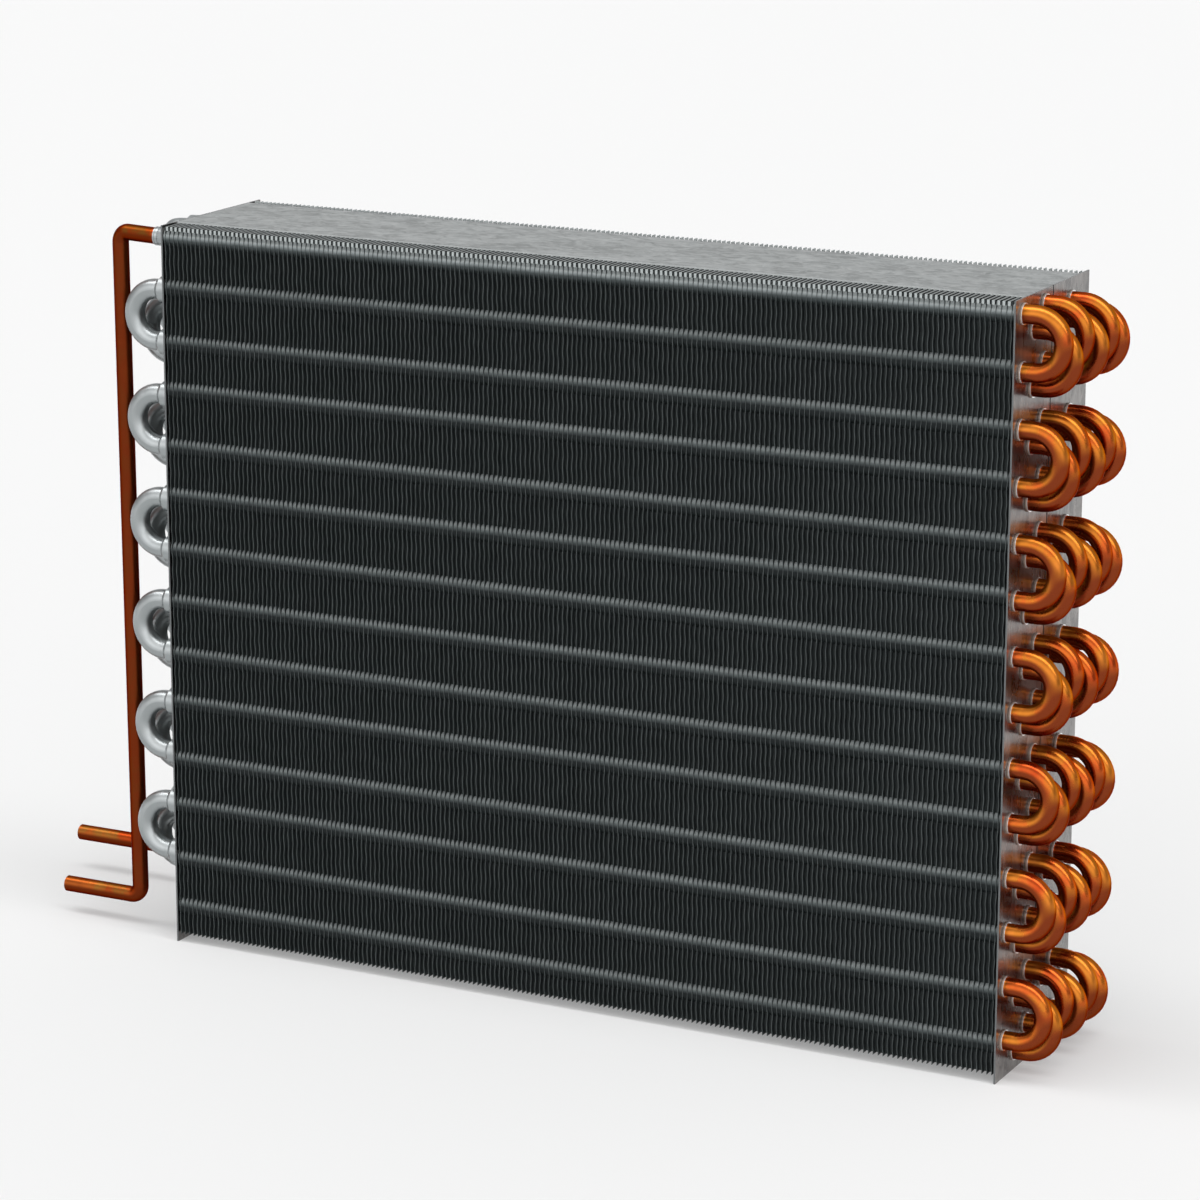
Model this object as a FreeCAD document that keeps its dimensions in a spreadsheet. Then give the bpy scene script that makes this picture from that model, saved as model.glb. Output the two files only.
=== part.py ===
import FreeCAD, Part
import math
import os
import Sketcher
from FreeCAD import Vector

# Evaporator coil: two finned slabs, one behind the other, between sheet-metal end plates.
# Millimetres. X runs along the tubes, air enters at the front face (-Y), Z is up.
# The origin is the middle of the whole object's footprint, on the surface it stands on.

SIZES = {
    "coil_width": 431.4,          # over the outer faces of the end plates
    "plate_height": 355.4,
    "plate_depth": 43.8,
    "plate_thickness": 0.8,
    "slab_gap": 1.2,              # between the plates of the front and the rear slab
    "cover_thickness": 0.8,
    "cover_front_setback": 13.0,
    "cover_back_setback": 10.5,
    "sheet_clearance": 0.1,
    "fin_pitch": 2.4,
    "fin_thickness": 0.4,
    "fin_depth": 40.0,
    "fin_setback": 0.3,           # behind the front edge of the end plate
    "fin_ground": 4.0,            # from the surface below to the fins' lower edges
    "front_reveal": 3.2,          # how deep the gaps between the fins are open in front
    "back_reveal": 0.7,           # and behind, where the last tubes lie closer to the edge
    "row_pitch": 13.0,
    "first_row": 8.9,             # from the plate's front edge
    "lowest_tube": 18.3,
    "top_margin": 6.9,            # from the highest tubes' axis to the plates' upper edge
    "stagger": 8.8,               # how much lower the low columns lie
    "rear_middle_drop": 3.5,
    "tube_outer": 8.5,            # 5/16 inch tube, expanded into the fins
    "tube_wall": 0.5,
    "tube_clearance": 0.1,
    "bend_standoff": 6.2,         # straight stretch between the right plate and the bend
    "plug_proud": 0.8,
    "plug_depth": 3.0,
    "ring_outer": 9.6,            # raised rings round the holes of the right plates
    "ring_height": 1.0,
    "return_outer": 9.6,
    "mouth_length": 7.0,          # belled mouth of a return bend, over the hairpin's end
    "mouth_foot": 13.6,
    "mouth_shoulder": 13.2,
    "shoulder_length": 5.0,       # from the plate to where the bell turns in
    "mouth_top": 10.0,
    "return_lead": 1.6,           # straight stretch between the mouth and the bend
    "pipe_outer": 7.94,           # 5/16 inch
    "pipe_wall": 0.8,
    "pipe_bend": 5.3,
    "tube_stub": 1.2,             # end of a tube that carries a pipe, beyond the left plate
    "braze_gap": 0.1,
    "collar_length": 7.9,
    "collar_foot": 10.8,
    "collar_neck": 8.7,
    "collar_ring": 9.0,
    "collar_ring_length": 2.4,
    "outlet_standoff": 31.2,      # from the left plate to the middle of the upright pipe
    "outlet_offset": 4.1,         # the upright pipe passes behind the first bends' plane
    "outlet_lean": 3.3,           # its foot lies this much further back
    "outlet_height": 14.0,
    "outlet_reach": 74.4,         # from the left plate to the open end
    "outlet_lead": 8.8,           # straight stretch of the outlet pipe at its collar
    "inlet_lead": 12.0,
    "inlet_height": 18.3,
    "inlet_reach": 108.6,
    "inlet_jog": 34.0,            # where the inlet pipe has risen to its full height
}

TUBES = 14                        # in each column, counted from the top, evenly spaced
ROWS = 3                          # columns of tubes in each slab, counted from the front
COLUMN_DROPS = ["0", "Sizes.stagger", "0",
                "Sizes.stagger", "Sizes.rear_middle_drop", "Sizes.stagger"]

# Where the circuit's tube ends lead at the left, as (column, tube).
OUTLET_END = (1, 1)
INLET_END = (6, 14)
PLUGGED_ENDS = [(1, 14), (2, 1), (2, 14), (3, 14)]
CROSSOVERS = [((4, 1), (3, 1)), ((5, 14), (4, 14)), ((5, 1), (6, 1))]

RIGHT_REACH = "(Sizes.bend_standoff + (Sizes.tube_pitch + Sizes.tube_outer) / 2)"
RIGHT_FACE = f"((Sizes.coil_width + Sizes.inlet_reach - {RIGHT_REACH}) / 2)"
LEFT_FACE = f"({RIGHT_FACE} - Sizes.coil_width)"
FRONT_EDGE = "(-Sizes.plate_depth - Sizes.slab_gap / 2)"
SLAB_STEP = "(Sizes.plate_depth + Sizes.slab_gap)"
TUBE_RADIUS = "(Sizes.tube_outer / 2)"
TUBE_BORE = "(Sizes.tube_outer / 2 - Sizes.tube_wall)"
HOLE_RADIUS = "(Sizes.tube_outer / 2 + Sizes.tube_clearance)"
RETURN_BORE = HOLE_RADIUS
RETURN_STANDOFF = "(Sizes.mouth_length + Sizes.return_lead)"
FIN_TOP = "(Sizes.plate_height - Sizes.cover_thickness)"
INSIDE_WIDTH = "(Sizes.coil_width - 2 * Sizes.plate_thickness - 2 * Sizes.sheet_clearance)"

doc = FreeCAD.newDocument("evaporator_coil")
sheet = doc.addObject("Spreadsheet::Sheet", "Sizes")
tube_pitch = f"=(plate_height - lowest_tube - top_margin) / {TUBES - 1}"
for line, (alias, value) in enumerate([*SIZES.items(), ("tube_pitch", tube_pitch)], start=1):
    sheet.set(f"A{line}", alias)
    sheet.set(f"B{line}", str(value))
    sheet.setAlias(f"B{line}", alias)
doc.recompute()

subparts = []


def number(expression):
    return float(sheet.evalExpression(expression))


def column_y(column):
    slab, row = divmod(column - 1, ROWS)
    return f"({FRONT_EDGE} + Sizes.first_row + {row} * Sizes.row_pitch + {slab} * {SLAB_STEP})"


def tube_z(column, tube):
    drop = COLUMN_DROPS[column - 1]
    return f"(Sizes.lowest_tube - {drop} + {TUBES - tube} * Sizes.tube_pitch)"


def keep(feature, label):
    feature.Label = label
    subparts.append(feature)
    return feature


def place(feature, x, y, z, turn="rotation(vector(0; 0; 1); 0)"):
    feature.setExpression("Placement", f"placement(vector({x}; {y}; {z}); {turn})")


def origin_part(body, role):
    return [part for part in body.Origin.OriginFeatures if part.Role == role][0]


def sketch_on(body, role, name):
    sketch = body.newObject("Sketcher::SketchObject", name)
    sketch.AttachmentSupport = [(origin_part(body, role), "")]
    sketch.MapMode = "FlatFace"
    return sketch


def pin_point(sketch, geometry, point, across, up):
    """Tie a sketch point to the sheet by its distances from the sketch's origin."""
    for kind, expression in (("DistanceX", across), ("DistanceY", up)):
        value = number(expression)
        if value < 0:
            ends, text = (geometry, point, -1, 1), f"-({expression})"
        else:
            ends, text = (-1, 1, geometry, point), expression
        index = sketch.addConstraint(Sketcher.Constraint(kind, *ends, abs(value)))
        sketch.setExpression(f"Constraints[{index}]", text)


def add_circle(sketch, across, up, radius):
    centre = Vector(number(across), number(up), 0)
    circle = sketch.addGeometry(Part.Circle(centre, Vector(0, 0, 1), number(radius)), False)
    pin_point(sketch, circle, 3, across, up)
    index = sketch.addConstraint(Sketcher.Constraint("Radius", circle, number(radius)))
    sketch.setExpression(f"Constraints[{index}]", radius)


def add_outline(sketch, corners):
    places = [Vector(number(across), number(up), 0) for across, up in corners]
    sides = []
    for start, end in zip(places, places[1:] + places[:1]):
        sides.append(sketch.addGeometry(Part.LineSegment(start, end), False))
    for side, following in zip(sides, sides[1:] + sides[:1]):
        sketch.addConstraint(Sketcher.Constraint("Coincident", side, 2, following, 1))
    for side, (across, up) in zip(sides, corners):
        pin_point(sketch, side, 1, across, up)


def add_axis(sketch, up):
    """A line for a revolution, along the sketch's X at the given height."""
    start, end = Vector(0, number(up), 0), Vector(10, number(up), 0)
    line = sketch.addGeometry(Part.LineSegment(start, end), True)
    sketch.addConstraint(Sketcher.Constraint("Horizontal", line))
    pin_point(sketch, line, 1, "0", up)
    sketch.addConstraint(Sketcher.Constraint("DistanceX", line, 1, line, 2, 10))


def pad(body, name, sketch, length, backwards=False):
    feature = body.newObject("PartDesign::Pad", name)
    feature.Profile = sketch
    feature.Reversed = backwards
    feature.setExpression("Length", length)
    return feature


def revolve(body, name, sketch, axis, angle):
    feature = body.newObject("PartDesign::Revolution", name)
    feature.Profile = sketch
    feature.ReferenceAxis = (sketch, [axis])
    feature.Angle = angle
    return feature


def repeat_upwards(body, name, originals, step, count):
    feature = body.newObject("PartDesign::LinearPattern", name)
    feature.Originals = originals
    feature.Direction = (origin_part(body, "Z_Axis"), [""])
    feature.setExpression("Length", f"{count - 1} * ({step})")
    feature.Occurrences = count
    body.Tip = feature
    return feature


# Hairpins

def leg_length(column, tube):
    """From the start of the bend to the tube's end at the left."""
    end = "Sizes.mouth_length"
    if (column, tube) in PLUGGED_ENDS:
        end = "Sizes.plug_proud"
    elif (column, tube) in (OUTLET_END, INLET_END):
        end = "Sizes.tube_stub"
    return f"Sizes.bend_standoff + Sizes.coil_width + {end}"


def make_hairpin(column, hairpin):
    """One tube, bent through half a turn; its own origin lies between its legs."""
    body = doc.addObject("PartDesign::Body", f"Hairpin_{column}_{hairpin}")
    tubes = {"Upper": 2 * hairpin - 1, "Lower": 2 * hairpin}
    for side, tube in tubes.items():
        section = sketch_on(body, "YZ_Plane", f"{side}Section_{column}_{hairpin}")
        height = "Sizes.tube_pitch / 2" if side == "Upper" else "-Sizes.tube_pitch / 2"
        add_circle(section, "0", height, TUBE_RADIUS)
        add_circle(section, "0", height, TUBE_BORE)
        if side == "Upper":
            revolve(body, f"Bend_{column}_{hairpin}", section, "H_Axis", 180)
        pad(body, f"{side}Leg_{column}_{hairpin}", section, leg_length(column, tube), True)
    middle = f"{tube_z(column, tubes['Lower'])} + Sizes.tube_pitch / 2"
    place(body, f"{RIGHT_FACE} + Sizes.bend_standoff", column_y(column), middle)
    return keep(body, f"hairpin_{column}_{hairpin}")


# Fin slabs

def make_fin_slab(label, slab, reveal_in_front):
    """Fins at their true pitch, closed behind the stretch where gaps can be seen into."""
    width = number(INSIDE_WIDTH)
    depth = number("Sizes.fin_depth")
    pitch = number("Sizes.fin_pitch")
    thickness = number("Sizes.fin_thickness")
    reveal = number("Sizes.front_reveal" if reveal_in_front else "Sizes.back_reveal")
    edge, floor = (0, reveal) if reveal_in_front else (depth, depth - reveal)
    far_edge = depth - edge
    margin = (width - math.floor(width / pitch) * pitch) / 2
    comb = [Vector(width, far_edge, 0), Vector(0, far_edge, 0)]
    for fin in range(math.floor(width / pitch) + 1):
        left = max(margin + fin * pitch - thickness / 2, 0)
        right = min(margin + fin * pitch + thickness / 2, width)
        comb += [Vector(left, floor, 0), Vector(left, edge, 0)]
        comb += [Vector(right, edge, 0), Vector(right, floor, 0)]
    comb.append(comb[0])
    height = number(f"{FIN_TOP} - Sizes.fin_ground")
    block = Part.Face(Part.makePolygon(comb)).extrude(Vector(0, 0, height))

    corner = Vector(number(f"{LEFT_FACE} + Sizes.plate_thickness + Sizes.sheet_clearance"),
                    number(f"{FRONT_EDGE} + Sizes.fin_setback + {slab} * {SLAB_STEP}"),
                    number("Sizes.fin_ground"))
    bores = []
    for column in range(slab * ROWS + 1, slab * ROWS + ROWS + 1):
        for tube in range(1, TUBES + 1):
            axis = Vector(corner.x, number(column_y(column)), number(tube_z(column, tube)))
            bores.append(Part.makeCylinder(number(HOLE_RADIUS), width, axis - corner, Vector(1, 0, 0)))
    feature = doc.addObject("Part::Feature", f"FinSlab_{slab}")
    feature.Shape = block.cut(bores)
    feature.Placement.Base = corner
    return keep(feature, label)


# Sheet metal

def make_end_plate(label, slab, left_side):
    """A flat sheet with a hole for each tube, raised to a ring on the hairpin side."""
    body = doc.addObject("PartDesign::Body", "Plate_" + label)
    blank = sketch_on(body, "YZ_Plane", "Blank_" + label)
    add_outline(blank, [("0", "0"), ("Sizes.plate_depth", "0"),
                        ("Sizes.plate_depth", "Sizes.plate_height"), ("0", "Sizes.plate_height")])
    pad(body, "Sheet_" + label, blank, "Sizes.plate_thickness")

    def at_lowest_tubes(name, radius):
        sketch = sketch_on(body, "YZ_Plane", name + label)
        for row in range(ROWS):
            drop = COLUMN_DROPS[slab * ROWS + row]
            add_circle(sketch, f"Sizes.first_row + {row} * Sizes.row_pitch",
                       f"Sizes.lowest_tube - {drop}", radius)
        return sketch

    if not left_side:
        rings = at_lowest_tubes("RingEdge_", "Sizes.ring_outer / 2")
        ring = pad(body, "Ring_" + label, rings, "Sizes.plate_thickness + Sizes.ring_height")
        repeat_upwards(body, "Rings_" + label, [ring], "Sizes.tube_pitch", TUBES)
    holes = at_lowest_tubes("HoleEdge_", HOLE_RADIUS)
    hole = body.newObject("PartDesign::Pocket", "Hole_" + label)
    hole.Profile = holes
    hole.Type = "ThroughAll"
    hole.Reversed = True
    repeat_upwards(body, "Holes_" + label, [hole], "Sizes.tube_pitch", TUBES)
    outer = LEFT_FACE if left_side else f"{RIGHT_FACE} - Sizes.plate_thickness"
    place(body, outer, f"{FRONT_EDGE} + {slab} * {SLAB_STEP}", "0")
    return keep(body, label)


def make_cover():
    box = doc.addObject("Part::Box", "Cover")
    box.setExpression("Length", INSIDE_WIDTH)
    box.setExpression("Width", f"Sizes.plate_depth + {SLAB_STEP} - Sizes.cover_front_setback"
                               " - Sizes.cover_back_setback")
    box.setExpression("Height", "Sizes.cover_thickness")
    place(box, f"{LEFT_FACE} + Sizes.plate_thickness + Sizes.sheet_clearance",
          f"{FRONT_EDGE} + Sizes.cover_front_setback", FIN_TOP)
    return keep(box, "top_cover")


# Return bends

def make_return_bend(name, span, copies=1):
    """A half turn with belled mouths that slip over two tube ends and seat on the plate."""
    body = doc.addObject("PartDesign::Body", name)
    section = sketch_on(body, "YZ_Plane", "Section_" + name)
    add_circle(section, "0", f"{span} / 2", "Sizes.return_outer / 2")
    add_circle(section, "0", f"{span} / 2", RETURN_BORE)
    features = [revolve(body, "Bend_" + name, section, "H_Axis", 180)]
    for side, height in (("Upper", f"{span} / 2"), ("Lower", f"-{span} / 2")):
        profile = sketch_on(body, "XZ_Plane", f"{side}Profile_{name}")
        shoulder = "-(Sizes.return_lead + Sizes.mouth_length - Sizes.shoulder_length)"
        add_outline(profile, [("0", f"{height} + {RETURN_BORE}"),
                              (f"-{RETURN_STANDOFF}", f"{height} + {RETURN_BORE}"),
                              (f"-{RETURN_STANDOFF}", f"{height} + Sizes.mouth_foot / 2"),
                              (shoulder, f"{height} + Sizes.mouth_shoulder / 2"),
                              ("-Sizes.return_lead", f"{height} + Sizes.mouth_top / 2"),
                              ("-Sizes.return_lead", f"{height} + Sizes.return_outer / 2"),
                              ("0", f"{height} + Sizes.return_outer / 2")])
        add_axis(profile, height)
        features.append(revolve(body, f"{side}Mouth_{name}", profile, "Axis0", 360))
    if copies > 1:
        repeat_upwards(body, "Column_" + name, features, "2 * Sizes.tube_pitch", copies)
    return body


def make_return_column(column):
    body = make_return_bend(f"Returns_{column}", "Sizes.tube_pitch", TUBES // 2 - 1)
    lowest = f"{tube_z(column, TUBES - 1)} + Sizes.tube_pitch / 2"
    place(body, f"{LEFT_FACE} - {RETURN_STANDOFF}", column_y(column), lowest,
          "rotation(vector(0; 0; 1); 180)")
    return keep(body, f"return_bends_{column}")


def make_crossovers():
    bodies = []
    for index, (first, second) in enumerate(CROSSOVERS, start=1):
        along = f"({column_y(second[0])} - {column_y(first[0])})"
        rise = f"({tube_z(*second)} - {tube_z(*first)})"
        body = make_return_bend(f"Crossover_{index}", f"hypot({along}; {rise})")
        place(body, f"{LEFT_FACE} - {RETURN_STANDOFF}",
              f"{column_y(first[0])} + {along} / 2", f"{tube_z(*first)} + {rise} / 2",
              f"rotation(vector(1; 0; 0); atan2(-{along}; {rise}))"
              " * rotation(vector(0; 0; 1); 180)")
        bodies.append(body)
    group = doc.addObject("Part::Compound", "Crossovers")
    group.Links = bodies
    return keep(group, "crossover_bends")


def make_plugs():
    plugs = []
    for column, tube in PLUGGED_ENDS:
        plug = doc.addObject("Part::Cylinder", f"Plug_{column}_{tube}")
        plug.setExpression("Radius", f"{TUBE_BORE} - Sizes.tube_clearance / 2")
        plug.setExpression("Height", "Sizes.plug_depth")
        place(plug, f"{LEFT_FACE} - Sizes.plug_proud", column_y(column), tube_z(column, tube),
              "rotation(vector(0; 1; 0); 90)")
        plugs.append(plug)
    group = doc.addObject("Part::Compound", "Plugs")
    group.Links = plugs
    return keep(group, "end_plugs")


# Connecting pipes

def bent_path(points, radius):
    """Straight runs through the points, joined by tangent arcs."""
    edges, start = [], points[0]
    for before, corner, after in zip(points, points[1:], points[2:]):
        back, onward = (before - corner).normalize(), (after - corner).normalize()
        half = back.getAngle(onward) / 2
        enter = corner + back * (radius / math.tan(half))
        leave = corner + onward * (radius / math.tan(half))
        middle = corner + (back + onward).normalize() * (radius / math.sin(half) - radius)
        edges.append(Part.LineSegment(start, enter).toShape())
        edges.append(Part.Arc(enter, middle, leave).toShape())
        start = leave
    edges.append(Part.LineSegment(start, points[-1]).toShape())
    return Part.Wire(edges)


def make_pipe(label, points):
    origin = points[0]
    path = bent_path([point - origin for point in points], number("Sizes.pipe_bend"))
    outer = number("Sizes.pipe_outer / 2")
    walls = []
    for radius in (outer, outer - number("Sizes.pipe_wall")):
        ring = Part.Wire([Part.Circle(Vector(0, 0, 0), Vector(-1, 0, 0), radius).toShape()])
        walls.append(path.makePipeShell([ring], True, False))
    feature = doc.addObject("Part::Feature", "Pipe_" + label)
    feature.Shape = walls[0].cut(walls[1])
    feature.Placement.Base = origin
    return keep(feature, label)


def pipe_start(end):
    return Vector(number(f"{LEFT_FACE} - Sizes.tube_stub - Sizes.braze_gap"),
                  number(column_y(end[0])), number(tube_z(*end)))


def make_outlet_pipe():
    start = pipe_start(OUTLET_END)
    lead = Vector(number(f"{LEFT_FACE} - Sizes.outlet_lead"), start.y, start.z)
    top = Vector(number(f"{LEFT_FACE} - Sizes.outlet_standoff"),
                 start.y + number("Sizes.outlet_offset"), start.z)
    foot = Vector(top.x, top.y + number("Sizes.outlet_lean"), number("Sizes.outlet_height"))
    end = Vector(number(f"{LEFT_FACE} - Sizes.outlet_reach"), foot.y, foot.z)
    return make_pipe("outlet_pipe", [start, lead, top, foot, end])


def make_inlet_pipe():
    start = pipe_start(INLET_END)
    lead = Vector(number(f"{LEFT_FACE} - Sizes.inlet_lead"), start.y, start.z)
    risen = Vector(number(f"{LEFT_FACE} - Sizes.inlet_jog"), start.y, number("Sizes.inlet_height"))
    end = Vector(number(f"{LEFT_FACE} - Sizes.inlet_reach"), start.y, risen.z)
    return make_pipe("inlet_pipe", [start, lead, risen, end])


def make_collars():
    """Stepped collars that join the pipes to their tubes and seat on the left plate."""
    bodies = []
    for name, end in (("Outlet", OUTLET_END), ("Inlet", INLET_END)):
        body = doc.addObject("PartDesign::Body", f"{name}Collar")
        profile = sketch_on(body, "XZ_Plane", f"{name}CollarProfile")
        pipe_bore = "Sizes.pipe_outer / 2 + Sizes.tube_clearance / 2"
        neck = "-(Sizes.collar_length - Sizes.collar_ring_length)"
        add_outline(profile, [("0", HOLE_RADIUS),
                              ("-Sizes.tube_stub", HOLE_RADIUS),
                              ("-Sizes.tube_stub", pipe_bore),
                              ("-Sizes.collar_length", pipe_bore),
                              ("-Sizes.collar_length", "Sizes.collar_ring / 2"),
                              (neck, "Sizes.collar_ring / 2"),
                              (neck, "Sizes.collar_neck / 2"),
                              ("0", "Sizes.collar_foot / 2")])
        revolve(body, f"{name}CollarTurned", profile, "H_Axis", 360)
        place(body, LEFT_FACE, column_y(end[0]), tube_z(*end))
        bodies.append(body)
    group = doc.addObject("Part::Compound", "Collars")
    group.Links = bodies
    return keep(group, "pipe_collars")


make_fin_slab("front_fin_slab", 0, True)
make_fin_slab("rear_fin_slab", 1, False)
for slab, place_name in enumerate(("front", "rear")):
    make_end_plate(f"{place_name}_plate_left", slab, True)
    make_end_plate(f"{place_name}_plate_right", slab, False)
make_cover()
for column in range(1, 2 * ROWS + 1):
    for hairpin in range(1, TUBES // 2 + 1):
        make_hairpin(column, hairpin)
    make_return_column(column)
make_crossovers()
make_plugs()
make_outlet_pipe()
make_inlet_pipe()
make_collars()
doc.recompute()

for feature in doc.Objects:
    if "Invalid" in feature.State or "Error" in feature.State:
        raise RuntimeError(f"{feature.Label} did not recompute: {feature.State}")

os.makedirs("parts", exist_ok=True)
for feature in subparts:
    shape = feature.Shape
    if shape.isNull() or not shape.isValid():
        raise RuntimeError(f"{feature.Label} has no valid shape")
    shape.exportStep(f"parts/{feature.Label}.step")
print(f"{len(subparts)} sub-parts written")
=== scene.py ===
import math

import bpy
from mathutils import Euler, Matrix, Vector


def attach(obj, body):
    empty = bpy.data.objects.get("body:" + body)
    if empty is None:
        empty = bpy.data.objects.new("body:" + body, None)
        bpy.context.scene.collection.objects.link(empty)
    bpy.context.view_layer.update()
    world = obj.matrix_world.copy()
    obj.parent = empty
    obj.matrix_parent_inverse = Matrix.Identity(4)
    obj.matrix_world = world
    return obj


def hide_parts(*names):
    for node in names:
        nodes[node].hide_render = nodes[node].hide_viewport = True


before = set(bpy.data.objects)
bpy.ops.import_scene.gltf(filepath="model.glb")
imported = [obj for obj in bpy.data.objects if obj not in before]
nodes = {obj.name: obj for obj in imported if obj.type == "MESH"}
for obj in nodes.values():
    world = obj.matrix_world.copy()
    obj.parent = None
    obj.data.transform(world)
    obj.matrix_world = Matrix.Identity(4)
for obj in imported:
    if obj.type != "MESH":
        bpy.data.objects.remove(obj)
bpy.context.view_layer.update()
mm = 0.001
print("coil solids loaded:", len(nodes))


def linearColor(hexColor):
    # hex as read from a screen, turned to the linear values that shaders take
    channels = []
    for start in (0, 2, 4):
        value = int(hexColor[start:start + 2], 16) / 255
        channels.append(value / 12.92 if value <= 0.04045 else ((value + 0.055) / 1.055) ** 2.4)
    return (*channels, 1.0)


def addNode(tree, kind, values=None, links=None, stops=None, **settings):
    # one node with its settings, its socket values and what feeds it
    node = tree.nodes.new(kind)
    for name, value in settings.items():
        setattr(node, name, value)
    for socket, value in (values or {}).items():
        node.inputs[socket].default_value = value
    for socket, source in (links or {}).items():
        tree.links.new(source, node.inputs[socket])
    if stops:
        ramp = node.color_ramp
        while len(ramp.elements) < len(stops):
            ramp.elements.new(0.5)
        for element, (position, color) in zip(ramp.elements, stops):
            element.position = position
            element.color = linearColor(color)
    return node


def addMath(tree, operation, *terms):
    # one step of arithmetic; each term is a number or what another node puts out
    values, links = {}, {}
    for socket, term in enumerate(terms):
        (values if isinstance(term, (int, float)) else links)[socket] = term
    return addNode(tree, "ShaderNodeMath", values, links, operation=operation).outputs[0]


def remap(tree, value, start, end=(0.0, 1.0), **settings):
    # carries a value from one range over to another
    return addNode(tree, "ShaderNodeMapRange",
                   {1: start[0], 2: start[1], 3: end[0], 4: end[1]}, {0: value},
                   **settings).outputs[0]


def newMaterial(name, **surface):
    # a material with one shader; numbers and colours that don't vary go straight on its sockets
    material = bpy.data.materials.new(name)
    material.use_nodes = True
    tree = material.node_tree
    shader = tree.nodes["Principled BSDF"]
    for socket, value in surface.items():
        shader.inputs[socket.replace("_", " ")].default_value = value
    place = addNode(tree, "ShaderNodeTexCoord").outputs["Object"]
    return material, tree, shader, place


# fitted to the photo: place in metres, turns in radians, lens and sensor in millimetres
cameraFit = {"place": (0.90403, -1.71329, 0.67667), "turn": 0.468371, "dip": 0.249318,
             "roll": 0.0027336, "lens": 126.86, "sensor": 36.0}

cameraData = bpy.data.cameras.new("photoCamera")
camera = bpy.data.objects.new("photoCamera", cameraData)
bpy.context.scene.collection.objects.link(camera)
cameraData.lens = cameraFit["lens"]
cameraData.sensor_width = cameraFit["sensor"]
aim = Euler((math.pi / 2 - cameraFit["dip"], 0, cameraFit["turn"])).to_matrix()
camera.rotation_euler = (aim @ Matrix.Rotation(cameraFit["roll"], 3, "Z")).to_euler()
camera.location = cameraFit["place"]
bpy.context.scene.camera = camera
bpy.context.scene.view_settings.view_transform = "Standard"
print("camera set")


studio = {"floorHalf": 14.0,       # metres from the middle to the paper's edge
          "floorColor": "F4F4F4", "paperRoughness": 0.9,
          "backdrop": 0.95,        # how light the paper looks
          "shadowShare": 0.72,     # the share of it that takes the coil's shadow
          "floorLight": 1.141,     # what the lights give the open floor
          "room": 0.3,             # the dim glow from everywhere
          # where the soft boxes begin and stop fading out, as a sine toward each end of the coil
          "leftEnd": (0.60, 0.85), "rightEnd": (0.85, 0.98),
          # degrees above the front horizon, over the top to the back horizon, and the glow there
          "glowByHeight": [(0, 1.0), (14, 1.35), (34, 1.35), (46, 0.7), (69, 0.8), (76, 3.2),
                           (83, 5.0), (90, 3.2), (97, 0.6), (110, 0.4), (128, 0.35),
                           (160, 0.55), (180, 0.9)]}

floorMesh = bpy.data.meshes.new("paperFloor")
half = studio["floorHalf"]
floorMesh.from_pydata([(-half, -half, 0), (half, -half, 0), (half, half, 0), (-half, half, 0)],
                      [], [(0, 1, 2, 3)])
floorPiece = bpy.data.objects.new("paperFloor", floorMesh)
bpy.context.scene.collection.objects.link(floorPiece)

# White paper. What the camera, the metal and glass see of it is mostly its own even tone, and
# the rest takes the coil's shadow.
paper, paperTree, paperShader, _ = newMaterial("mattePaperSweep",
                                               Roughness=studio["paperRoughness"],
                                               Base_Color=linearColor(studio["floorColor"]),
                                               Specular_IOR_Level=0.0)
level = studio["backdrop"]
paperRays = addNode(paperTree, "ShaderNodeLightPath").outputs
seen = addMath(paperTree, "MAXIMUM", paperRays["Is Camera Ray"], paperRays["Is Glossy Ray"])
seen = addMath(paperTree, "MAXIMUM", seen, paperRays["Is Transmission Ray"])
shaded = addNode(paperTree, "ShaderNodeBsdfDiffuse",
                 {"Color": [level * studio["shadowShare"] / studio["floorLight"]] * 3 + [1.0]})
even = addNode(paperTree, "ShaderNodeEmission", {"Strength": level * (1 - studio["shadowShare"])})
sweep = addNode(paperTree, "ShaderNodeAddShader", links={0: shaded.outputs[0], 1: even.outputs[0]})
chosen = addNode(paperTree, "ShaderNodeMixShader", links={
    0: seen, 1: paperShader.outputs[0], 2: sweep.outputs[0]})
paperTree.links.new(chosen.outputs[0], paperTree.nodes["Material Output"].inputs["Surface"])
floorMesh.materials.append(paper)

# The room: a long soft box almost overhead, a broad low glow in front and a pale wall behind.
world = bpy.data.worlds.new("studioRoom")
bpy.context.scene.world = world
world.use_nodes = True
room = world.node_tree
toward = addNode(room, "ShaderNodeTexCoord").outputs["Generated"]
axes = addNode(room, "ShaderNodeSeparateXYZ", links={0: toward}).outputs
swing = addMath(room, "ARCTAN2", axes["Z"], addMath(room, "MULTIPLY", axes["Y"], -1.0))
share = addMath(room, "DIVIDE", swing, math.pi)
brightest = max(glow for _, glow in studio["glowByHeight"])
softBoxes = addNode(room, "ShaderNodeValToRGB", links={0: share},
                    stops=[(height / 180, "FFFFFF") for height, _ in studio["glowByHeight"]])
for element, (_, glow) in zip(softBoxes.color_ramp.elements, studio["glowByHeight"]):
    element.color = (*[(glow - studio["room"]) / brightest] * 3, 1.0)
leftIn, leftOut = studio["leftEnd"]
rightIn, rightOut = studio["rightEnd"]
leftFade = remap(room, axes["X"], (-leftOut, -leftIn), interpolation_type="SMOOTHSTEP")
rightFade = remap(room, axes["X"], (rightOut, rightIn), interpolation_type="SMOOTHSTEP")
within = addMath(room, "MULTIPLY", leftFade, rightFade)
lit = addMath(room, "MULTIPLY", softBoxes.outputs[0], within)
total = addMath(room, "MULTIPLY_ADD", lit, brightest, studio["room"])
room.links.new(total, room.nodes["Background"].inputs["Strength"])
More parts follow.
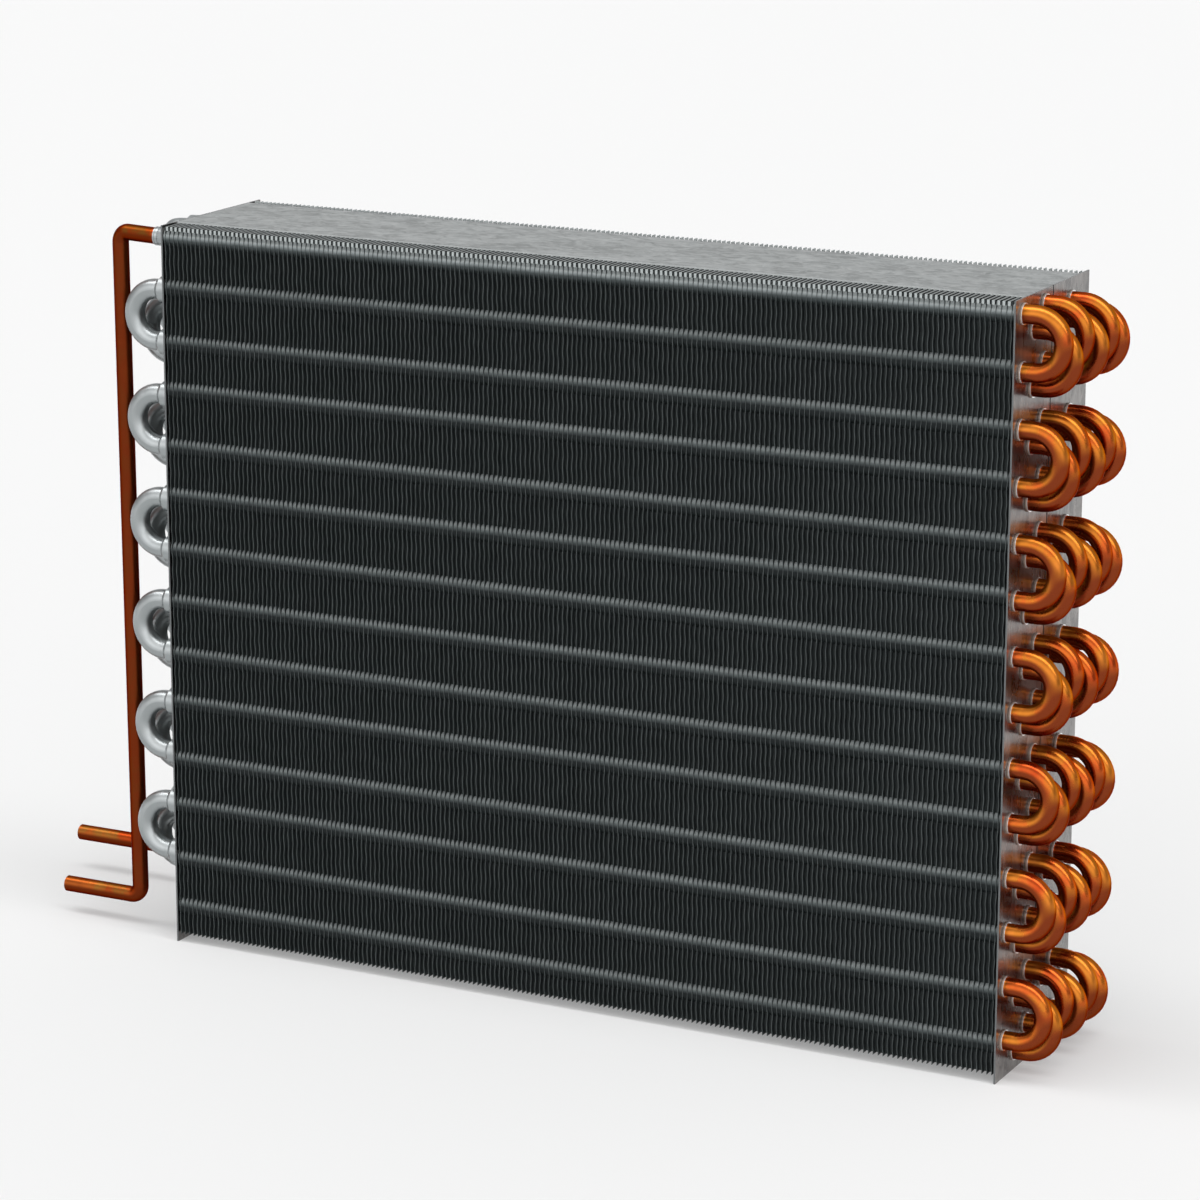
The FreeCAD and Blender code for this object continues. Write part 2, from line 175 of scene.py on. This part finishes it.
room.nodes["Background"].inputs["Color"].default_value = (1, 1, 1, 1)
print("floor and light set")


noiseSpan = (0.3, 0.7)   # what nearly all of a noise texture's values lie between
bumpDepth = 0.2 * mm


def noiseAt(tree, place, size, **values):
    # cloudy noise in patches about so many millimetres wide
    return addNode(tree, "ShaderNodeTexNoise", {"Scale": 1 / (size * mm), **values},
                   {"Vector": place}).outputs[0]


def tonesOver(tree, value, stops):
    return addNode(tree, "ShaderNodeValToRGB", links={0: value}, stops=stops).outputs[0]


def layColor(tree, where, under, over):
    # one tone over another where the mask says; each is a hex or what another node puts out
    values, links = {}, {0: where}
    for socket, tone in ((6, under), (7, over)):
        if isinstance(tone, str):
            values[socket] = linearColor(tone)
        else:
            links[socket] = tone
    return addNode(tree, "ShaderNodeMix", values, links, data_type="RGBA").outputs[2]


def feed(tree, shader, **sources):
    # nodes' outputs that vary over the surface, each to the shader's socket of that name
    for socket, source in sources.items():
        tree.links.new(source, shader.inputs[socket.replace("_", " ")])


def addBump(tree, shader, height, strength):
    bump = addNode(tree, "ShaderNodeBump", {"Strength": strength, "Distance": bumpDepth},
                   {"Height": height})
    feed(tree, shader, Normal=bump.outputs[0])


def placeAlong(tree, place):
    return addNode(tree, "ShaderNodeSeparateXYZ", links={0: place}).outputs["X"]


def facingAlong(tree, axis):
    # how far the surface looks along the axis, from -1 to 1
    facing = addNode(tree, "ShaderNodeNewGeometry").outputs["Normal"]
    return addNode(tree, "ShaderNodeSeparateXYZ", links={0: facing}).outputs[axis]


def cutEdge(tree, faceAxis="X"):
    # 1 on a sheet's sheared edges, 0 on its faces, which look along the axis
    straight = facingAlong(tree, faceAxis)
    return addMath(tree, "LESS_THAN", addMath(tree, "MULTIPLY", straight, straight), 0.5)


finCoat = {"grainSize": 6, "roughness": (0.42, 0.56), "specular": 0.25,
           "face": ("292E2F", "323738"), "cutEdge": ("4A5050", "5E6464"),
           # corner tones: a light grey painted reflection on the black coat
           "cornerPaintedReflection": ("A2A8A8", "B8BEBE")}


def makeFinStock(name, faceTones, edgeTones=()):
    # Aluminium fin stock with a black epoxy coat, slit and stamped: near black on its faces, and
    # paler along its cut edges, where the coat is thin and catches the light as a cool grey.
    material, tree, shader, place = newMaterial(name, Metallic=0.0, IOR=1.5,
                                                Specular_IOR_Level=finCoat["specular"])
    grain = noiseAt(tree, place, finCoat["grainSize"], Detail=3.0)
    tone = tonesOver(tree, grain, list(zip(noiseSpan, faceTones)))
    if edgeTones:
        rubbed = tonesOver(tree, grain, list(zip(noiseSpan, edgeTones)))
        tone = layColor(tree, cutEdge(tree), tone, rubbed)
    # the haze of the dried film comes in the same patches
    haze = remap(tree, grain, noiseSpan, finCoat["roughness"])
    feed(tree, shader, Base_Color=tone, Roughness=haze)
    return material


# painted light and shade: tones by how far the surface looks up, 0 level with the horizon, 1
# straight up
drawnCoat = {
    "patchSize": 3, "uneven": 0.16, "roughness": 0.34, "lowest": -0.5, "sides": "1E2223",
    "glossSpan": (0.35, 0.7), "specular": (0.06, 0.5),
    # row bars: a painted highlight along the shoulder, painted shade below
    "rowPaintedLightTones": [(0.0, "202425"), (0.2, "3E4344"), (0.38, "5C6262"), (0.54, "848A8A"),
                 (0.7, "989E9E"), (0.86, "8C9292"), (0.95, "767C7C"), (1.0, "646A6A")],
    # the top bar: two painted highlight bands near its top, dark straight up
    "topPaintedLightTones": [(-0.5, "303536"), (-0.17, "474D4E"), (0.0, "6A7071"), (0.12, "868C8D"),
                 (0.26, "9EA4A4"), (0.42, "8C9292"), (0.56, "A6ACAC"), (0.7, "C8CECE"),
                 (0.82, "D4DADA"), (0.89, "8A9090"), (0.94, "34393A"), (1.0, "202425")],
    # flanges: painted light, lighter on their front faces and darker on top
    "flangePaintedLightTones": [(-0.2, "A8AEAE"), (0.2, "B4BABA"), (0.7, "7E8484"), (0.9, "626868")]}


def makeCollarStock(name, tones):
    # The same coated stock where it is drawn into collars round the tubes, with painted shade and
    # a painted highlight by how far it looks up: black below and bright along the shoulder. What
    # looks sideways is black.
    material, tree, shader, place = newMaterial(name, Metallic=0.0, IOR=1.5,
                                                Roughness=drawnCoat["roughness"])
    patches = noiseAt(tree, place, drawnCoat["patchSize"], Detail=2.0)
    uneven = addMath(tree, "MULTIPLY_ADD", patches, drawnCoat["uneven"], -drawnCoat["uneven"] / 2)
    shoulder = addMath(tree, "ADD", facingAlong(tree, "Z"), uneven)
    lowest = drawnCoat["lowest"]
    tone = tonesOver(tree, remap(tree, shoulder, (lowest, 1.0)),
                     [((height - lowest) / (1.0 - lowest), color) for height, color in tones])
    feed(tree, shader, Base_Color=layColor(tree, cutEdge(tree), drawnCoat["sides"], tone),
         Specular_IOR_Level=remap(tree, shoulder, drawnCoat["glossSpan"], drawnCoat["specular"]))
    return material


def addTarnish(tree, color, look):
    # painted shade: a darker brown or grey tone on the sides and below, fading out where the metal
    # faces up
    film = remap(tree, facingAlong(tree, "Z"), (look["paintedShadeUpTo"], look["noPaintedShadeFrom"]),
                 (1.0, 0.0), interpolation_type="SMOOTHSTEP")
    return layColor(tree, film, color, look["paintedShade"])


hairpinLook = {"cloudSize": 14, "roughness": (0.22, 0.33), "sheen": "D09878",
               "tones": [(0.3, "C24C22"), (0.42, "D4642A"), (0.54, "D07C2C"), (0.7, "E68838")],
               # the next tone is a red-brown painted shade on the sides and below, gone where the
               # tube faces up
               "paintedShade": "863C20", "paintedShadeUpTo": -0.1, "noPaintedShadeFrom": 0.28,
               "drawnSize": 0.9, "drawnBump": 0.02}


def makeHairpinCopper(look):
    # Drawn and bent copper tube: a warm, slightly clouded polish, orange to yellow in the
    # lights, with a red-brown painted shade on its sides and below.
    material, tree, shader, place = newMaterial("drawnCopperTube", Metallic=1.0,
                                                Specular_Tint=linearColor(look["sheen"]))
    clouds = noiseAt(tree, place, look["cloudSize"], Detail=4.0)
    feed(tree, shader, Base_Color=addTarnish(tree, tonesOver(tree, clouds, look["tones"]), look),
         Roughness=remap(tree, clouds, noiseSpan, look["roughness"]))
    drawn = noiseAt(tree, place, look["drawnSize"], Detail=2.0)
    addBump(tree, shader, drawn, look["drawnBump"])
    return material


pipeLook = {"cloudSize": 22, "roughness": (0.28, 0.4), "sheen": "A0643C",
            "tones": [(0.3, "963416"), (0.42, "AC441A"), (0.5, "8E5A26"), (0.58, "A6401A"),
                      (0.7, "C46628")],
            "gold": "B07834", "goldShare": 0.3, "goldFade": 4,
            # the next tone is a dark red-brown painted shade on the sides and below, gone where
            # the pipe faces up
            "paintedShade": "6C2C13", "paintedShadeUpTo": -0.1, "noPaintedShadeFrom": 0.4,
            "outletGoldFrom": -222.4, "inletGoldFrom": -256.6}


def makePipeCopper(name, look, goldFrom):
    # Copper pipe after brazing: a thin oxide film, red brown with olive and orange heat tints,
    # and a paler golden end that the flame left bright, with a darker painted shade on its sides
    # and below.
    material, tree, shader, place = newMaterial(name, Metallic=1.0,
                                                Specular_Tint=linearColor(look["sheen"]))
    clouds = noiseAt(tree, place, look["cloudSize"], Detail=5.0, Roughness=0.6)
    goldTo = goldFrom - look["goldFade"]
    gold = remap(tree, placeAlong(tree, place), (goldFrom * mm, goldTo * mm),
                 (0.0, look["goldShare"]))
    bright = layColor(tree, gold, tonesOver(tree, clouds, look["tones"]), look["gold"])
    feed(tree, shader, Base_Color=addTarnish(tree, bright, look),
         Roughness=remap(tree, clouds, noiseSpan, look["roughness"]))
    return material


bendLook = {"cloudSize": 5, "roughness": (0.32, 0.42),
            "tones": [(0.3, "B6BBBC"), (0.7, "C8CCCD")],
            # the next tone is a darker grey painted shade on the sides and below, gone where the
            # bend faces up
            "paintedShade": "9CA1A2", "paintedShadeUpTo": -0.15, "noPaintedShadeFrom": 0.35,
            "seam": "5E6263", "seamPlace": -180.0, "seamHalf": 0.09}


def makeBendMetal(look):
    # Grey brazed return bends, pickled clean: a satin silver grey with soft wide highlights, a
    # darker grey painted shade on the sides and below, and a fine dark seam where the bend meets
    # its flared mouth.
    material, tree, shader, place = newMaterial("satinReturnBend", Metallic=1.0)
    clouds = noiseAt(tree, place, look["cloudSize"], Detail=4.0)
    worn = addTarnish(tree, tonesOver(tree, clouds, look["tones"]), look)
    seam = addMath(tree, "COMPARE", placeAlong(tree, place), look["seamPlace"] * mm,
                   look["seamHalf"] * mm)
    feed(tree, shader, Base_Color=layColor(tree, seam, worn, look["seam"]),
         Roughness=remap(tree, clouds, noiseSpan, look["roughness"]))
    return material


sheetLook = {"smudgeSize": 12, "swirlSize": 7, "blend": (0.75, 1.25), "toneStops": (0.1, 0.5, 0.9),
             "edgeMetallic": 0.25, "grainSize": 1.2, "grainBump": 0.08}
plateLook = {"stretch": (1.0, 1.0, 0.45), "tones": ("6E6C6B", "868381", "989593"),
             "roughness": (0.22, 0.34), "edge": "66696A", "faceAxis": "X",
             # the raised rings round the holes: their walls in a copper-pink painted reflection,
             # then their faces in a white painted highlight
             "rings": [(258.45, "A89488"), (259.15, "F0F2F2")]}
# the cover's near-white edge tone is a painted highlight along its sheared edges
coverLook = {"stretch": (0.75, 1.1, 1.0), "tones": ("939898", "BCC0C0", "D1D4D4"),
             "roughness": (0.28, 0.52), "edge": "E4E8E8", "faceAxis": "Z", "rings": []}


def makeSheetMetal(name, look):
    # Mill-finish sheet, sheared and left bare: a flat mid grey with long smudges and handling
    # stains along the rolling direction. Each painted ring tone (the walls' reflection, then the
    # faces' highlight) starts at a place along X.
    material, tree, shader, place = newMaterial(name)
    rolled = addNode(tree, "ShaderNodeMapping", {"Scale": look["stretch"]},
                     {"Vector": place}).outputs[0]
    smudges = noiseAt(tree, rolled, sheetLook["smudgeSize"], Detail=6.0, Roughness=0.6,
                      Distortion=0.6)
    swirls = noiseAt(tree, rolled, sheetLook["swirlSize"], Detail=5.0, Roughness=0.65,
                     Distortion=1.6)
    blend = remap(tree, addMath(tree, "ADD", smudges, swirls), sheetLook["blend"])
    tone = tonesOver(tree, blend, list(zip(sheetLook["toneStops"], look["tones"])))
    sheared = cutEdge(tree, look["faceAxis"])
    # sheared edges take the edge tone: a dull grey on the plates, a painted highlight on the cover
    tone = layColor(tree, sheared, tone, look["edge"])
    along = placeAlong(tree, place)
    # the rings' painted reflection and painted highlight, each from its place along X
    for start, color in look["rings"]:
        tone = layColor(tree, addMath(tree, "GREATER_THAN", along, start * mm), tone, color)
    # the sheared edges are dull and scatter the light, so they count as only a little metallic
    metallic = remap(tree, sheared, (0.0, 1.0), (1.0, sheetLook["edgeMetallic"]))
    feed(tree, shader, Base_Color=tone, Metallic=metallic,
         Roughness=remap(tree, smudges, noiseSpan, look["roughness"]))
    grain = noiseAt(tree, rolled, sheetLook["grainSize"], Detail=3.0)
    addBump(tree, shader, grain, sheetLook["grainBump"])
    return material


finStock = makeFinStock("blackCoatedFinStock", finCoat["face"], finCoat["cutEdge"])
darkCoat = makeFinStock("blackEpoxyCoat", finCoat["face"])
# the fin corners' stock is the black coat in a light grey painted reflection
rubbedStock = makeFinStock("rubbedFinCorner", finCoat["cornerPaintedReflection"])
# collar, top-collar and flange stocks: painted highlight and shade by how far they look up
collarStock = makeCollarStock("drawnFinCollar", drawnCoat["rowPaintedLightTones"])
topCollarStock = makeCollarStock("topFinCollar", drawnCoat["topPaintedLightTones"])
flangeStock = makeCollarStock("topCollarFlange", drawnCoat["flangePaintedLightTones"])
tubeCopper = makeHairpinCopper(hairpinLook)
bendMetal = makeBendMetal(bendLook)
plateSheet = makeSheetMetal("rolledEndPlate", plateLook)
coverSheet = makeSheetMetal("rolledTopSheet", coverLook)
outletCopper = makePipeCopper("brazedOutletPipe", pipeLook, pipeLook["outletGoldFrom"])
inletCopper = makePipeCopper("brazedInletPipe", pipeLook, pipeLook["inletGoldFrom"])

finishes = {"hairpin": tubeCopper, "return_bends": bendMetal, "crossover": bendMetal,
            "end_plugs": bendMetal, "pipe_collars": bendMetal, "outlet_pipe": outletCopper,
            "inlet_pipe": inletCopper, "front_plate": plateSheet, "rear_plate": plateSheet,
            "top_cover": coverSheet}
for name, node in nodes.items():
    for start, finish in finishes.items():
        if name.startswith(start):
            node.data.materials.clear()
            node.data.materials.append(finish)
print("finishes made and set on the solids")


finPack = {"pitch": 2.4, "count": 179, "thickness": 0.2, "depth": 40.0, "bottom": 4.0,
           "top": 354.6, "firstFin": -170.875, "frontEdge": -44.1, "rearEdge": 0.9,
           "waveLength": 10.5, "waveHeight": 0.19,
           # each fin's ripple starts up to waveSlip turns late, which changes over about waveDrift
           # along the coil, and slowly on the way up
           "waveDrift": 16.0, "waveSlip": 1.6, "waveRise": 0.12,
           "frontSteps": 6, "rearSteps": 4,   # faces in each ripple
           "jitter": 0.06, "seed": 7}

cornerAngle = 50   # degrees

tubeRows = {"pitch": 25.4, "count": 14, "lowest": 18.3, "drops": [0, 8.8, 0, 8.8, 3.5, 8.8],
            "columns": [-35.5, -22.5, -9.5, 9.5, 22.5, 35.5]}


def newTree(name, inputs):
    # a Geometry Nodes tree with named inputs; returns its input and output nodes too
    tree = bpy.data.node_groups.new(name, "GeometryNodeTree")
    tree.is_modifier = True
    tree.interface.new_socket("Geometry", in_out="OUTPUT", socket_type="NodeSocketGeometry")
    tree.interface.new_socket("Geometry", in_out="INPUT", socket_type="NodeSocketGeometry")
    sockets = {}
    for label, kind in inputs.items():
        socket = tree.interface.new_socket(label, in_out="INPUT", socket_type="NodeSocket" + kind)
        sockets[label] = socket.identifier
    given = tree.nodes.new("NodeGroupInput").outputs
    result = tree.nodes.new("NodeGroupOutput")
    return tree, sockets, given, result


def growPiece(name, tree, sockets, values, slotName, standsFor=(), points=()):
    # runs the tree once and keeps its result as a plain mesh that rides on the coil
    start = bpy.data.meshes.new(name + "Start")
    start.from_pydata([tuple(point) for point in points], [], [])
    blank = bpy.data.objects.new(name, start)
    bpy.context.scene.collection.objects.link(blank)
    modifier = blank.modifiers.new("grow", "NODES")
    modifier.node_group = tree
    for label, value in values.items():
        modifier[sockets[label]] = value
    graph = bpy.context.evaluated_depsgraph_get()
    mesh = bpy.data.meshes.new_from_object(blank.evaluated_get(graph))
    blank.modifiers.clear()
    mesh.name = name
    blank.data = mesh
    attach(blank, "root")
    if standsFor:
        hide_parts(*standsFor)
    print(name, "faces", len(mesh.polygons))
    return blank


def smoothButCrisp(tree, mesh):
    # smooth shading that stops at every corner sharper than cornerAngle
    rounded = addNode(tree, "GeometryNodeSetShadeSmooth", {"Shade Smooth": True},
                      {"Geometry": mesh}, domain="FACE")
    bend = addNode(tree, "GeometryNodeInputMeshEdgeAngle")
    corner = addNode(tree, "FunctionNodeCompare", {1: math.radians(cornerAngle)},
                     {0: bend.outputs[0]}, operation="GREATER_THAN")
    return addNode(tree, "GeometryNodeSetShadeSmooth", {"Shade Smooth": False},
                   {"Geometry": rounded.outputs[0], "Selection": corner.outputs[0]},
                   domain="EDGE").outputs[0]


def alongX(tree, distance):
    return addNode(tree, "ShaderNodeCombineXYZ", links={0: distance}).outputs[0]


def endWith(tree, result, mesh, material):
    # every tree ends by setting its material
    coated = addNode(tree, "GeometryNodeSetMaterial", {"Material": material}, {"Geometry": mesh})
    tree.links.new(coated.outputs[0], result.inputs[0])


def makeFinTree(name, material):
    # thin fins side by side, each rippled a little differently from its neighbours
    tree, sockets, given, result = newTree(name, {
        "First Place": "Vector", "Fin Size": "Vector", "Fin Count": "Int", "Fin Pitch": "Float",
        "Steps": "Int", "Wave Length": "Float", "Wave Height": "Float", "Wave Drift": "Float",
        "Jitter": "Float", "Seed": "Int"})
    fin = addNode(tree, "GeometryNodeMeshCube", {"Vertices X": 2, "Vertices Y": 2},
                  {"Size": given["Fin Size"], "Vertices Z": given["Steps"]})
    crisp = smoothButCrisp(tree, fin.outputs[0])
    line = addNode(tree, "GeometryNodeMeshLine", links={
        "Count": given["Fin Count"], "Start Location": given["First Place"],
        "Offset": alongX(tree, given["Fin Pitch"])})
    least = addMath(tree, "MULTIPLY", given["Jitter"], -1.0)
    loose = addNode(tree, "FunctionNodeRandomValue", links={
        2: least, 3: given["Jitter"], "Seed": given["Seed"]}, data_type="FLOAT")
    places = addNode(tree, "GeometryNodeSetPosition", links={
        "Geometry": line.outputs[0], "Offset": alongX(tree, loose.outputs[1])})
    pack = addNode(tree, "GeometryNodeInstanceOnPoints",
                   links={"Points": places.outputs[0], "Instance": crisp})
    real = addNode(tree, "GeometryNodeRealizeInstances", links={0: pack.outputs[0]})
    spot = addNode(tree, "ShaderNodeSeparateXYZ",
                   links={0: addNode(tree, "GeometryNodeInputPosition").outputs[0]}).outputs
    turns = addMath(tree, "DIVIDE", spot["Z"], given["Wave Length"])
    drifting = addMath(tree, "DIVIDE", spot["X"], given["Wave Drift"])
    slow = addMath(tree, "MULTIPLY", turns, finPack["waveRise"])
    where = addNode(tree, "ShaderNodeCombineXYZ", links={0: drifting, 2: slow})
    drift = addNode(tree, "ShaderNodeTexNoise", {"Scale": 1.0, "Detail": 2.0},
                    {"Vector": where.outputs[0]})
    late = addMath(tree, "MULTIPLY_ADD", drift.outputs[0], finPack["waveSlip"], turns)
    wave = addMath(tree, "SINE", addMath(tree, "MULTIPLY", late, 2 * math.pi))
    lean = addMath(tree, "MULTIPLY", wave, given["Wave Height"])
    waved = addNode(tree, "GeometryNodeSetPosition", links={
        "Geometry": real.outputs[0], "Offset": alongX(tree, lean)})
    endWith(tree, result, waved.outputs[0], material)
    return tree, sockets


finRipple = {"Fin Pitch": finPack["pitch"] * mm, "Wave Length": finPack["waveLength"] * mm,
             "Wave Drift": finPack["waveDrift"] * mm, "Jitter": finPack["jitter"] * mm,
             "Seed": finPack["seed"]}
finTree = makeFinTree("waferFins", finStock)
finHeight = finPack["top"] - finPack["bottom"]
firstHalf = finPack["count"] // 2
finParts = (("Left", 0, firstHalf), ("Right", firstHalf, finPack["count"] - firstHalf))
for side, edge, steps in (("front", finPack["frontEdge"], finPack["frontSteps"]),
                          ("rear", finPack["rearEdge"], finPack["rearSteps"])):
    for part, start, count in finParts:
        place = Vector((finPack["firstFin"] + start * finPack["pitch"],
                        edge + finPack["depth"] / 2,
                        (finPack["bottom"] + finPack["top"]) / 2)) * mm
        growPiece(side + "Fins" + part, *finTree, {
            "First Place": place,
            "Fin Size": Vector((finPack["thickness"], finPack["depth"], finHeight)) * mm,
            "Fin Count": count, "Steps": round(finHeight / finPack["waveLength"] * steps) + 1,
            "Wave Height": finPack["waveHeight"] * mm, **finRipple},
            "fins", (side + "_fin_slab",))


# In front of the top sheet a flange bridges each gap between the fins, painted lighter on its
# front faces and darker on top as painted light, and behind the sheet each fin's corner stands up
# as a tooth in a light grey that is a painted reflection on the black coat.
flanges = {"width": 1.25, "depth": 12.5, "height": 2.0, "top": 354.95}
teeth = {"width": 0.35, "depth": 3.4, "height": 1.0, "top": 355.4}
flangeTree = makeFinTree("topFlanges", flangeStock)
toothTree = makeFinTree("finCorners", rubbedStock)
gapMiddle = finPack["firstFin"] + finPack["pitch"] / 2
rearFace = finPack["rearEdge"] + finPack["depth"]
for name, grown, size, first, middle, count, waveHeight in (
        ("frontFlanges", flangeTree, flanges, gapMiddle,
         finPack["frontEdge"] + flanges["depth"] / 2, finPack["count"] - 1, 0.0),
        ("rearTeeth", toothTree, teeth, finPack["firstFin"],
         rearFace - teeth["depth"] / 2, finPack["count"], finPack["waveHeight"])):
    growPiece(name, *grown, {
        "First Place": Vector((first, middle, size["top"] - size["height"] / 2)) * mm,
        "Fin Size": Vector((size["width"], size["depth"], size["height"])) * mm,
        "Fin Count": count, "Steps": 2, "Wave Height": waveHeight * mm, **finRipple}, "fins")


# Behind the fins' outer edges their collars and corrugations close every gap: a bar of collars at
# each row, with a painted highlight along its shoulder, and a dark wall between the rows.
collars = {"radius": 5.0, "fromEdge": 5.2, "around": 40, "length": 429.4, "start": -171.975,
           # how far each row's bar sits above its tube, lowest row first
           "rises": [-0.5, -1.9, 0.3, -1.9, 1.7, 0.3, 1.0, 1.3, 2.8, 1.3, 3.5, 0.8, 1.8, 1.0],
           "rearRise": -2.5}
wall = {"fromEdge": 3.1, "thickness": 1.0, "bottom": 4.5, "top": 347.0}
sleeves = {"radius": 4.6, "around": 24}


def barAlong(tree, given):
    # a closed round bar made along Z and turned to run along X from its own origin
    bar = addNode(tree, "GeometryNodeMeshCylinder", links={
        "Radius": given["Radius"], "Depth": given["Length"], "Vertices": given["Around"]})
    half = addMath(tree, "MULTIPLY", given["Length"], 0.5)
    laid = addNode(tree, "GeometryNodeTransform", {"Rotation": (0, math.pi / 2, 0)},
                   {"Geometry": bar.outputs[0], "Translation": alongX(tree, half)})
    return smoothButCrisp(tree, laid.outputs[0])


def makeBarTree(name, material):
    # a bar on every point of the mesh that the tree is given
    tree, sockets, given, result = newTree(name, {"Length": "Float", "Radius": "Float",
                                                  "Around": "Int"})
    rows = addNode(tree, "GeometryNodeInstanceOnPoints", links={
        "Points": given["Geometry"], "Instance": barAlong(tree, given)})
    real = addNode(tree, "GeometryNodeRealizeInstances", links={0: rows.outputs[0]})
    endWith(tree, result, real.outputs[0], material)
    return tree, sockets


def makeWallTree(name, material):
    tree, sockets, given, result = newTree(name, {"Place": "Vector", "Size": "Vector"})
    board = addNode(tree, "GeometryNodeMeshCube", links={"Size": given["Size"]})
    moved = addNode(tree, "GeometryNodeTransform", links={"Geometry": board.outputs[0],
                                                          "Translation": given["Place"]})
    endWith(tree, result, moved.outputs[0], material)
    return tree, sockets


collarTree = makeBarTree("stampedFinCollars", collarStock)
topCollarTree = makeBarTree("stampedTopCollars", topCollarStock)
wallTree = makeWallTree("darkGapWall", darkCoat)
sleeveTree = makeBarTree("coatedTubeSleeves", darkCoat)
wallHeight = wall["top"] - wall["bottom"]
for side, edge, inward in (("front", finPack["frontEdge"], 1), ("rear", rearFace, -1)):
    rises = collars["rises"] if side == "front" else [collars["rearRise"]] * tubeRows["count"]
    points = [Vector((collars["start"], edge + inward * collars["fromEdge"],
                      tubeRows["lowest"] + row * tubeRows["pitch"] + rise)) * mm
              for row, rise in enumerate(rises)]
    barSize = {"Length": collars["length"] * mm, "Radius": collars["radius"] * mm,
               "Around": collars["around"]}
    growPiece(side + "Collars", *collarTree, barSize, "fins", points=points[:-1])
    growPiece(side + "TopCollar", *topCollarTree, barSize, "fins", points=points[-1:])
    growPiece(side + "GapWall", *wallTree, {
        "Place": Vector((collars["start"] + collars["length"] / 2,
                         edge + inward * wall["fromEdge"], wall["bottom"] + wallHeight / 2)) * mm,
        "Size": Vector((collars["length"], wall["thickness"], wallHeight)) * mm}, "fins")

for column, (depth, drop) in enumerate(zip(tubeRows["columns"], tubeRows["drops"]), start=1):
    growPiece(f"tubeSleeves{column}", *sleeveTree, {
        "Length": collars["length"] * mm, "Radius": sleeves["radius"] * mm,
        "Around": sleeves["around"]}, "fins", points=[
            Vector((collars["start"], depth,
                    tubeRows["lowest"] - drop + row * tubeRows["pitch"])) * mm
            for row in range(tubeRows["count"])])
print("fins, collars and sleeves grown")
